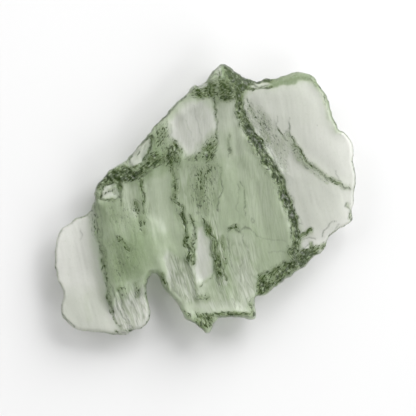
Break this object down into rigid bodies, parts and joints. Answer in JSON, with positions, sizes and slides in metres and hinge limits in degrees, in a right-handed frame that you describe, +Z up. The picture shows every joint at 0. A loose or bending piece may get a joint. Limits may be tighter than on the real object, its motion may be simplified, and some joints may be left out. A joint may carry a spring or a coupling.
{
  "type": "moldavite",
  "caption": "Thin irregular shard of etched natural glass, pale green and see-through, with a fluted thicker body, crumbled ledges, thin lobes and a notch in its lower edge.",
  "frame": {"origin": "centre of the bounding box in plan, on the plane of the flat facet that the shard rests on", "axes": "+X along the shard's length, from its thin left lobe to its right wing; +Y towards its pointed summit edge; +Z up, away from the facet it rests on"},
  "size_m": [0.03, 0.027, 0.0049],
  "materials": {
    "moldavite_glass": "see-through pale green glass, with an etched satin skin"
  },
  "bodies": {
    "root": {"moldavite": "moldavite_glass"}
  },
  "joints": []
}
